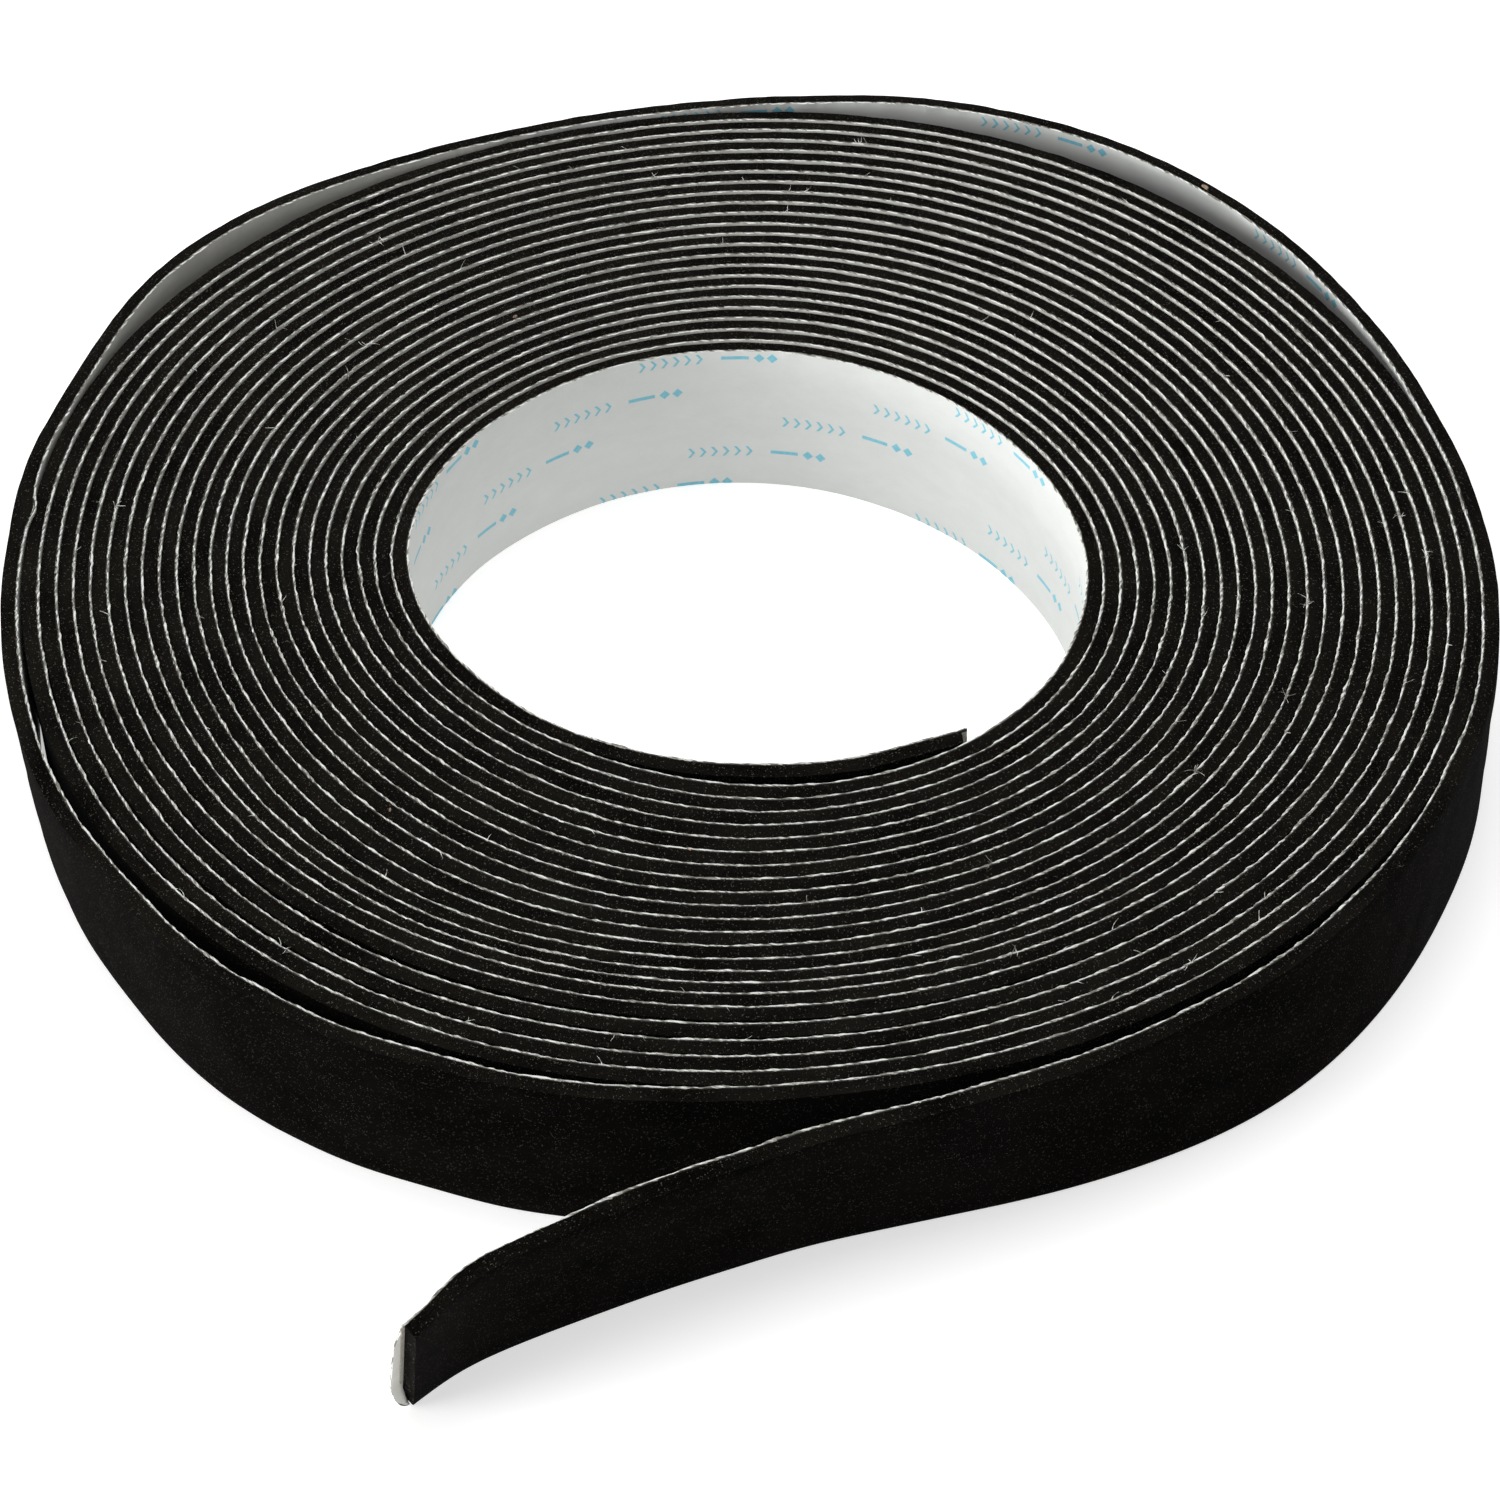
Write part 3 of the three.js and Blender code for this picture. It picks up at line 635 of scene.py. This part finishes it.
# the second colour is painted shade for the edge's notches
LINER_EDGE = edge_material("liner_edge", (0.78, 0.79, 0.76), (0.20, 0.195, 0.17))
ADHESIVE = adhesive_material("adhesive")
_d = Nodes("dust")
_dv = _d.noise(_d.strip(), 2.4, 3.0, 0.6)
_d.set(Base_Color=_d.ramp(_dv, [(0.35, (0.20, 0.13, 0.085)), (0.65, (0.44, 0.33, 0.25))]), Normal=_d.bump(_dv, 0.1 * MM, 0.8))
_d.bsdf.inputs["Roughness"].default_value = 0.8
_d.bsdf.inputs["Specular IOR Level"].default_value = 0.1
DUST = _d.mat

FOAM_MATS = [FOAM_CUT, FOAM_SKIN, FOAM_END]
LINER_MATS = [LINER_EDGE, LINER_FACE, LINER_BACK]


# ---------------------------------------------------------------------------------------------
# The three layers over any stretch of the strip
# ---------------------------------------------------------------------------------------------
def stations(a, b, step):
    n = max(2, int(math.ceil((b - a) / step)) + 1)
    return np.linspace(a, b, n)


def foam_piece(name, a, b, step, rows=None, wave=0.0):
    at = stations(a, b, step)
    T = col(thick, at)
    wan = along(WANDER, at) * 0.05
    top = WIDTH - 0.04 + along(TOP_Z, at) * 0.03
    crn = np.clip(0.36 + along(CORNER, at) * 0.025, 0.28, 0.45)
    inner = wan  # the cut edge beside the paper wanders a little
    rows = rows if rows is not None else np.array([7.5, 15.5])
    D, H, M = [], [], []

    def add(d, h, mat):
        D.append(np.broadcast_to(d, at.shape))
        H.append(np.broadcast_to(h, at.shape))
        M.append(mat)

    add(0.0, 0.0, 0)
    add(T - 0.35, 0.0, 0)
    add(T - 0.08, 0.12, 0)
    add(T, 0.45, 1)
    for z in rows:
        add(T + (skin_wave(at, np.full_like(at, z)) * wave if wave else 0), z, 1)
    add(T + (skin_wave(at, np.full_like(at, 22.6)) * wave * 0.5 if wave else 0), 23.0 - crn, 1)
    add(T - 0.09, top - 0.62 * crn, 0)
    add(T - crn, top - 0.18, 0)
    add(T * 0.5 + wan, top - 0.05, 0)
    add(0.2 + inner, top + 0.05, 0)
    add(0.0 + inner, top + 0.05, 0)
    add(0.0, 22.3, 0)
    return band(name, at, np.stack(D, 1), np.stack(H, 1), FOAM_MATS, M, 2, 50)


def sink(at):
    """How far the paper's upper edge lies below its usual height, mm: only near the tail's end."""
    x = np.clip((at - LAM_15 - 0.5) / 5.5, 0, 1)
    return 0.68 * x * x * (3 - 2 * x)


def liner_piece(name, a, b, step, rows=None, printed=False, cockle=0.0, ripple=1.0, reach=None, span=7.0, curl=None):
    """reach(h): mm that the end at b stands further along, or the end at a further back, at height h."""
    at = stations(a, b, step)
    rip = along(RIPPLE, at) * 0.058 * ripple + along(WANDER, at) * 0.04
    ripz = along(RIPPLE_Z, at) * 0.03 * ripple
    extra = np.clip(along(EDGE_T, at) * 0.045, -0.08, 0.12)
    rows = rows if rows is not None else np.array([])
    D, H, M = [], [], []

    def add(d, h, mat):
        D.append(np.broadcast_to(d, at.shape))
        H.append(np.broadcast_to(h, at.shape))
        M.append(mat)

    face = 1 if printed else 2
    low = 0.02
    top = WIDTH + 0.06 + ripz - sink(at)
    bulge = lambda h: (along(COCKLE, at) * np.clip((h - 12) / 12, 0, 1) ** 2
                       + along(COCKLE_B, at) * np.clip((12 - h) / 12, 0, 1) ** 2) * cockle
    add(-0.17, low, 2)
    if reach:
        for z in rows:
            add(-0.17 + bulge(z) * 0.5, z, 2)
    add(-0.17, 21.9, 2)
    add(-0.17 + rip, top - 0.06, 0)
    add(-0.29 + rip - 0.5 * extra, top, 0)
    add(-0.41 + rip - extra, top - 0.05, face)
    add(-0.42 + rip * 0.5 - 0.5 * extra + bulge(23.0), np.minimum(23.0, top - 0.35), face)
    add(-0.42 + rip * 0.1 + bulge(21.9), np.full_like(at, 21.9), face)
    for z in rows[::-1]:
        add(-0.42 + bulge(z), np.full_like(at, z), face)
    add(-0.42, low, 0)
    D, H = np.stack(D, 1), np.stack(H, 1)
    shift = None
    if reach:
        sign, fn = reach
        x = np.clip(1 - ((b - at) if sign > 0 else (at - a)) / span, 0, 1)
        shift = sign * (x * x * (3 - 2 * x))[:, None] * fn(H)
        if curl:
            D = D + curl(at[:, None] + shift - LAM_END, H)
    return band(name, at, D, H, LINER_MATS, M, 0, 42, shift)


def adhesive_piece(name, a, b, step):
    at = stations(a, b, step)
    top = WIDTH + 0.0 + along(RIPPLE_Z, at) * 0.02 - sink(at)
    D = np.stack([np.full_like(at, -0.165), np.full_like(at, -0.01), np.full_like(at, -0.01), np.full_like(at, -0.165)], 1)
    H = np.stack([np.full_like(at, 0.12), np.full_like(at, 0.12), top, top + 0.05], 1)
    return band(name, at, D, H, [ADHESIVE], [0, 0, 0, 0], 0, 42)


def tab_reach(h):
    """The liner runs on past the foam by less at its upper edge, and its lower corner is round."""
    v = np.interp(h, [0, 2, 5, 9, 13, 15.3, 17.5, 18.9, 20.7, 22.0, 23.0], [1.35, 1.8, 1.85, 1.72, 1.6, 1.52, 1.4, 1.2, 0.75, 0.3, 0.05])
    c = np.clip(1.6 - h, 0, 1.6)
    return v - (1.6 - np.sqrt(np.maximum(1.6**2 - c * c, 0.0))) - 1.5


def tab_curl(over, h):
    """Past the foam the liner's foot bends a little outwards, mm."""
    x = np.clip((over + 0.06) / 0.3, 0, 1)
    return 1.75 * x * x * (3 - 2 * x) * np.clip((5.0 - h) / 5.0, 0, 1) ** 1.4


def flap_reach(h):
    """Small round corners on the inner end of the liner."""
    c = np.clip(np.maximum(0.7 - h, h - (WIDTH + 0.1 - 0.7)), 0, 0.7)
    return -(0.7 - np.sqrt(np.maximum(0.49 - c * c, 0.0)))


# where each hinge is along the strip
joints = {j["name"]: j for j in frame["joints"]}
P_out = place(lam, thick, np.full_like(lam, WIDTH / 2))


def lam_near(pos, lo, hi):
    p = np.array(pos) / MM
    ok = (lam >= lo) & (lam <= hi)
    d = np.linalg.norm(P_out - p, axis=1)
    d[~ok] = 1e9
    return float(lam[np.argmin(d)])


def tangent(at):
    t = np.array([np.interp(at, lam, tan[:, 0]), np.interp(at, lam, tan[:, 1]), 0.0])
    return t / np.linalg.norm(t)


L_loose = float(LAM_OF_S(S_LOOSE))
n_runs = sum(1 for n in joints if n.startswith("unroll_"))
hinge = [lam_near(joints["unroll_%d" % (k + 1)]["pos_m"], L_loose - 20, LAM_END + 5) for k in range(n_runs)]
peel = lam_near(joints["liner_peel"]["pos_m"], L_loose, LAM_END + 5)
flap = float(LAM_OF_S(S_FLAP))
runs = ["run_%d" % (k + 1) for k in range(n_runs)]
bodies = ["roll"] + runs

mid = [0.5 * (hinge[k] + (hinge[k + 1] if k + 1 < n_runs else LAM_END)) for k in range(n_runs)]
L_a = float(LAM_OF_S(0.17))  # the flap's root seam
L_b = float(LAM_OF_S(22.58))  # where the outermost wound turn begins
L_c = L_loose - 26.0  # where the loose stretch's first piece begins

outer_rows = np.linspace(1.8, 21.6, 13)
made = []


def keep_piece(ob, nodes, body=None, blend=None):
    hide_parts(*nodes)
    if blend:
        a, b, at, half = blend[:4]
        j = [x for x in frame["joints"] if {x["parent"], x["child"]} == {a, b}][0]
        t = tangent(at)
        ax = np.array(j["axis"]) / np.linalg.norm(j["axis"])
        t = t - ax * np.dot(t, ax)
        t = t / np.linalg.norm(t) * half * MM
        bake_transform(ob)
    else:
        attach(ob, body)
    made.append(ob)
    return ob


# ---- wound part ------------------------------------------------------------------------------
keep_piece(foam_piece("foam_spiral", L_a, L_b, 1.45), ["foam_coil"], "roll")
keep_piece(foam_piece("foam_outer_turn", L_b, L_c, 0.9, outer_rows, 0.05), ["foam_coil"], "roll")
L_h = float(LAM_OF_S(1.17))
keep_piece(liner_piece("liner_hole_wall", L_a, L_h, 0.4, np.array([3, 7, 11, 15, 19.0]), True, 0.04, 0.5), ["liner_coil"], "roll")
for nm, s0, s1 in (("inner", 1.17, 10.0), ("middle", 10.0, 17.0), ("outer", 17.0, None)):
    keep_piece(liner_piece("liner_spiral_" + nm, float(LAM_OF_S(s0)), float(LAM_OF_S(s1)) if s1 else L_c, 0.38), ["liner_coil"], "roll")
keep_piece(adhesive_piece("adhesive_spiral", L_a, L_c, 1.1), ["adhesive_coil"], "roll")

# ---- the free end in the hole ----------------------------------------------------------------
bl = ("roll", "inner_end", flap, 7.0)
keep_piece(foam_piece("foam_flap", LAM_0, L_a, 0.7, outer_rows, 0.03), ["foam_inner_end"], blend=bl)
END_ROWS = np.array([0.2, 0.5, 1.0, 1.7, 4, 7.5, 11, 15, 19, 21.0])
keep_piece(liner_piece("liner_flap", LAM_0 - 0.9, L_a, 0.4, END_ROWS, True, 0.03, 0.5, (-1, flap_reach), 2.0), ["liner_inner_end"], blend=bl)
keep_piece(adhesive_piece("adhesive_flap", LAM_0 - 0.8, L_a, 0.8), ["adhesive_inner_end"], blend=bl)

# ---- fluff torn up along the paper's cut edge, and a few flakes of dust -----------------------
def fluff(name, count, s0, s1, seed):
    rng = np.random.default_rng(seed)
    V, Q, S, caps = [], [], [], []
    spots = [s0 + (s1 - s0) * math.sqrt(rng.random()) for _ in range(count)]
    for k in range(count // 7):  # here and there a tuft
        spots += [spots[k * 6] + rng.uniform(-0.8, 0.8) / 400 for _ in range(4)]
    for s in spots:
        at = float(LAM_OF_S(s))
        d0 = -0.29 + rng.uniform(-0.08, 0.08)
        p = place(np.array([at]), np.array([d0]), np.array([WIDTH + 0.05]))[0]
        t = np.array([col(tan[:, 0], at), col(tan[:, 1], at), 0.0])
        r = np.array([col(nrm[:, 0], at), col(nrm[:, 1], at), 0.0])
        az, el = rng.uniform(0, 2 * math.pi), rng.uniform(0.05, 0.75)
        way_ = (t * math.cos(az) + r * math.sin(az)) * math.cos(el) + np.array([0, 0, math.sin(el)])
        side = np.cross(way_, [0, 0, 1.0])
        side /= np.linalg.norm(side)
        other = np.cross(side, way_)
        length, curl_, droop = rng.uniform(0.4, 1.5), rng.uniform(-0.5, 0.5), rng.uniform(-0.1, 0.35)
        n0 = len(V)
        for u in np.linspace(0, 1, 5):
            c = p + way_ * length * u + side * curl_ * length * u * u - np.array([0, 0, 1.0]) * droop * length * u * u
            rad = 0.046 * (1 - 0.55 * u)
            for e in (side, other, -side, -other):
                V.append(c + e * rad)
                S.append((at + length * u, WIDTH, d0))
        for i in range(4):
            for j in range(4):
                a0, a1 = n0 + i * 4 + j, n0 + i * 4 + (j + 1) % 4
                Q.append((a0, a1, a1 + 4, a0 + 4))
        caps += [([n0 + 3, n0 + 2, n0 + 1, n0], 0), ([n0 + 16, n0 + 17, n0 + 18, n0 + 19], 0)]
    return make_mesh(name, V, Q, [LINER_EDGE], np.zeros(len(Q), int), S, 80, caps)


def flake(name, x, y, long, wide, deg, seed):
    """A thin crumb lying on the upper edge, at x, y from the coil's axis."""
    rng = np.random.default_rng(seed)
    n = 9
    ang = np.linspace(0, 2 * math.pi, n, endpoint=False)
    k = rng.uniform(0.7, 1.15, n)
    u, v = np.cos(ang) * k * long / 2, np.sin(ang) * k * wide / 2
    c, s_ = math.cos(math.radians(deg)), math.sin(math.radians(deg))
    px, py = x + u * c - v * s_, y + u * s_ + v * c
    z0 = WIDTH - 0.12
    low = np.stack([px, py, np.full(n, z0)], 1)
    high = np.stack([x + (px - x) * 0.8, y + (py - y) * 0.8, z0 + 0.22 + rng.uniform(0, 0.14, n)], 1)
    V = np.concatenate([low, high]) + SHIFT
    Q = [(i, (i + 1) % n, n + (i + 1) % n, n + i) for i in range(n)]
    return make_mesh(name, V, Q, [DUST], np.zeros(n, int), V, 30, [(list(range(n))[::-1], 0), (list(range(n, 2 * n)), 0)])


keep_piece(fluff("paper_fluff", 150, 1.3, 22.5, 41), ["liner_coil"], "roll")
for k, (x, y, lg, wd, dg) in enumerate([(-31.95, 48.93, 0.75, 0.45, 20), (-43.81, -48.43, 0.55, 0.35, 70), (-6.38, -54.83, 0.5, 0.35, -30)]):
    keep_piece(flake("dust_%d" % (k + 1), x, y, lg, wd, dg, 50 + k), ["foam_coil"], "roll")
CRUMB = (63.40, 79.83)
CRUMB_AT = float(lam[np.argmin(np.hypot(base[:, 0] - CRUMB[0], base[:, 1] - CRUMB[1]) + (lam < L_loose - 30) * 1e3)])

# ---- loose stretch and tail ------------------------------------------------------------------
for k in range(n_runs):
    a = L_c if k == 0 else mid[k - 1]
    b = mid[k]
    short = (b - a) < 30
    half = min(12.0, 0.42 * min(hinge[k] - a, b - hinge[k]) * 2)
    half = min(half, hinge[k] - a, b - hinge[k]) * 0.95
    lb = b
    nodes_l = ["liner_" + runs[k]] if "liner_" + runs[k] in frame["nodes"] else []
    if k == n_runs - 1:
        room_l = peel - hinge[k]
        if room_l > 2:
            lb = hinge[k] + 0.5 * room_l
            half = min(half, 0.47 * room_l)
        else:
            lb = hinge[k] + half
    bl = (bodies[k], bodies[k + 1], hinge[k], half) + ((0.45, 0.95) if k == 3 else (1.0, 1.0))  # the fourth lies close on the coil
    nm = "%02d" % (k + 1)
    keep_piece(foam_piece("foam_bend_" + nm, a, b, 0.9, outer_rows, 0.05), ["foam_" + runs[k]], blend=bl)
    if a <= CRUMB_AT < b:
        keep_piece(flake("dust_4", CRUMB[0], CRUMB[1], 1.5, 0.75, -50, 54), ["foam_" + runs[k]], blend=bl)
    keep_piece(adhesive_piece("adhesive_bend_" + nm, a, b, 1.0), ["adhesive_" + runs[k]], blend=bl)
    keep_piece(liner_piece("liner_bend_" + nm, a, lb, 0.45, np.array([3, 7, 11, 15, 19.0]), True, 0.07), nodes_l or ["liner_pull_tab"], blend=bl)
keep_piece(foam_piece("foam_tail_end", mid[-1], LAM_END, 0.7, outer_rows, 0.04), ["foam_" + runs[-1]], runs[-1])
keep_piece(adhesive_piece("adhesive_tail_end", mid[-1], LAM_END + 0.5, 0.8), ["adhesive_" + runs[-1]], runs[-1])
TAB_ROWS = np.array([0.2, 0.5, 1.0, 1.7, 3, 5, 7, 9, 11, 13, 15, 17, 19, 20.2, 21.2])
tab_half = (peel - lb) * 0.95 if peel - lb > 1.5 else 3.0
keep_piece(liner_piece("liner_pull_tab_end", lb, LAM_END + 1.5, 0.35, TAB_ROWS, True, 0.03, 1.0, (1, tab_reach), 7.0, tab_curl), ["liner_pull_tab"],
           blend=(runs[-1], "pull_tab", peel, tab_half))

# ---------------------------------------------------------------------------------------------
# Camera, floor and lights
# ---------------------------------------------------------------------------------------------
F_PX, SIZE_PX = 6040.366833778402, 1500.0
ELEV, ROLL = 0.7530876490547351, 0.013946568642220679
DIST = 330.40559395195055 * PITCH
target = np.array([0.37332245650437035 * PITCH, -15.915935167406477 * PITCH, WIDTH]) + SHIFT
fw = np.array([0, math.cos(ELEV), -math.sin(ELEV)])
rt = np.array([1.0, 0, 0])
up = np.array([0, math.sin(ELEV), math.cos(ELEV)])
rt2 = math.cos(ROLL) * rt + math.sin(ROLL) * up
up2 = -math.sin(ROLL) * rt + math.cos(ROLL) * up
loc = (target - DIST * fw) * MM
cam_data = bpy.data.cameras.new("camera")
cam_data.sensor_width = 36.0
cam_data.lens = 36.0 * F_PX / SIZE_PX
cam_data.clip_start, cam_data.clip_end = 0.05, 50.0
cam = bpy.data.objects.new("camera", cam_data)
scene.collection.objects.link(cam)
m4 = Matrix.Identity(4)
for r in range(3):
    m4[r][0], m4[r][1], m4[r][2], m4[r][3] = rt2[r], up2[r], -fw[r], loc[r]
cam.matrix_world = m4
scene.camera = cam

floor_m = Nodes("floor_paper")
tc = floor_m.nt.nodes.new("ShaderNodeTexCoord").outputs["Object"]
fcol = floor_m.ramp(floor_m.noise(tc, 6.0, 3.0), [(0.3, (0.80, 0.80, 0.795)), (0.7, (0.825, 0.825, 0.82))])
floor_m.set(Base_Color=fcol)
floor_m.bsdf.inputs["Emission Color"].default_value = (1, 1, 1, 1)
floor_m.bsdf.inputs["Emission Strength"].default_value = 0.5
floor_m.bsdf.inputs["Roughness"].default_value = 0.9
floor_m.bsdf.inputs["Specular IOR Level"].default_value = 0.1
fme = bpy.data.meshes.new("floor")
R, N = 9.0, 96
fv = [(0, 0, 0)] + [(R * math.cos(2 * math.pi * i / N), R * math.sin(2 * math.pi * i / N), 0) for i in range(N)]
fme.from_pydata(fv, [], [(0, i + 1, (i + 1) % N + 1) for i in range(N)])
fme.materials.append(floor_m.mat)
floor = bpy.data.objects.new("floor", fme)
scene.collection.objects.link(floor)


def area(name, at, look, size, power, colour=(1, 1, 1)):
    d = bpy.data.lights.new(name, "AREA")
    d.shape, d.size, d.size_y, d.energy, d.color = "RECTANGLE", size[0], size[1], power, colour
    o = bpy.data.objects.new(name, d)
    scene.collection.objects.link(o)
    o.location = at
    o.rotation_mode = "QUATERNION"
    o.rotation_quaternion = (Vector(at) - Vector(look)).to_track_quat("Z", "Y")
    return o


area("overhead", (-0.2, 0.7, 2.8), (0, 0, 0), (2.4, 2.4), 38.0)
area("key_left", (-2.75, -0.9, 1.0), (0, 0, 0.02), (1.6, 1.6), 54.0)
area("left_low", (-2.7, -0.7, 0.2), (0, 0, 0.01), (1.4, 0.3), 28.0)
area("front_fill", (0.4, -2.8, 1.8), (0, 0, 0), (1.6, 1.6), 6.0)
world = bpy.data.worlds.new("studio")
world.use_nodes = True
world.node_tree.nodes["Background"].inputs["Color"].default_value = (1.0, 1.0, 1.0, 1)
world.node_tree.nodes["Background"].inputs["Strength"].default_value = 0.5
scene.world = world
scene.view_settings.view_transform = "Standard"
scene.view_settings.look = "None"
